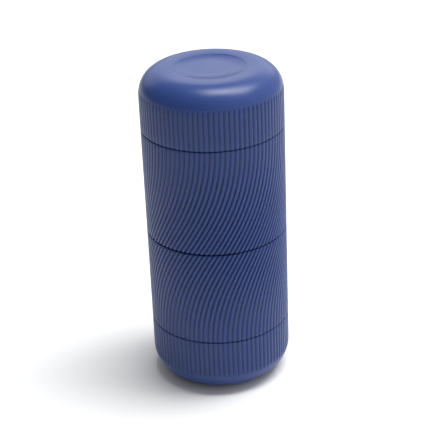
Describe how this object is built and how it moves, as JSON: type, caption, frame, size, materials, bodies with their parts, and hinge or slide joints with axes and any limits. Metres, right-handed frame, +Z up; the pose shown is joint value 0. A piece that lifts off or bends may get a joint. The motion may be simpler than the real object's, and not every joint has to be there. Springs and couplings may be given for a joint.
{
  "type": "pill crusher",
  "caption": "Cylindrical twist-action pill crusher with a ribbed dark blue body, screw-off caps at both ends and a conical burr driven by turning the upper half.",
  "frame": {"origin": "centre of the underside of the bottom cap", "axes": "+Z up along the cylinder's axis, from the powder end to the loading end; X and Y are equal across the cylinder"},
  "size_m": [0.054, 0.054, 0.1262],
  "materials": {
    "shell_plastic": "satin, finely ribbed",
    "liner_plastic": "satin",
    "natural_plastic": "satin",
    "seal_rubber": "matte",
    "burr_steel": "machined",
    "bright_steel": "bright"
  },
  "bodies": {
    "base": {"bottom_cap": "shell_plastic", "powder_cup": "liner_plastic"},
    "cup_seal": {"cup_gasket": "seal_rubber"},
    "lower_half": {"lower_shell": "shell_plastic", "lower_core": "liner_plastic", "glide_ring": "natural_plastic", "ring_burr": "burr_steel", "ring_screw_1": "bright_steel", "ring_screw_2": "bright_steel", "ring_screw_3": "bright_steel"},
    "upper_half": {"upper_shell": "shell_plastic", "hopper": "liner_plastic", "snap_ring": "bright_steel", "drive_bridge": "natural_plastic", "bridge_screw_1": "bright_steel", "bridge_screw_2": "bright_steel", "bridge_screw_3": "bright_steel", "drive_shaft": "bright_steel", "shaft_washer": "bright_steel", "shaft_clip": "bright_steel", "burr_spring": "bright_steel"},
    "rotor": {"rotor_burr": "burr_steel"},
    "adjuster": {"adjuster_knob": "liner_plastic"},
    "lid_seal": {"lid_gasket": "seal_rubber"},
    "lid": {"top_cap": "shell_plastic", "cap_liner": "liner_plastic"}
  },
  "joints": [
    {"name": "cup_lift", "type": "slide", "parent": "base", "child": "cup_seal", "axis": [0, 0, 1], "range_m": [0, 0.012]},
    {"name": "cup_turn", "type": "hinge", "parent": "cup_seal", "child": "lower_half", "pos_m": [0, 0, 0.024], "axis": [0, 0, 1], "range_deg": [0, 481]},
    {"name": "grind_twist", "type": "hinge", "parent": "lower_half", "child": "upper_half", "pos_m": [0, 0, 0.0618], "axis": [0, 0, 1], "continuous": true},
    {"name": "burr_drop", "type": "slide", "parent": "upper_half", "child": "rotor", "axis": [0, 0, -1], "range_m": [0, 0.0007], "deforming": ["burr_spring"]},
    {"name": "adjuster_turn", "type": "hinge", "parent": "rotor", "child": "adjuster", "pos_m": [0, 0, 0.029], "axis": [0, 0, 1], "range_deg": [0, 361]},
    {"name": "lid_lift", "type": "slide", "parent": "upper_half", "child": "lid_seal", "axis": [0, 0, 1], "range_m": [0, 0.012]},
    {"name": "lid_turn", "type": "hinge", "parent": "lid_seal", "child": "lid", "pos_m": [0, 0, 0.1034], "axis": [0, 0, 1], "range_deg": [0, 481]}
  ],
  "couplings": [
    {"joint": "cup_turn", "follows": "cup_lift", "rad_per_m": 698.13},
    {"joint": "lid_turn", "follows": "lid_lift", "rad_per_m": 698.13},
    {"joint": "adjuster_turn", "follows": "burr_drop", "rad_per_m": 8976}
  ]
}
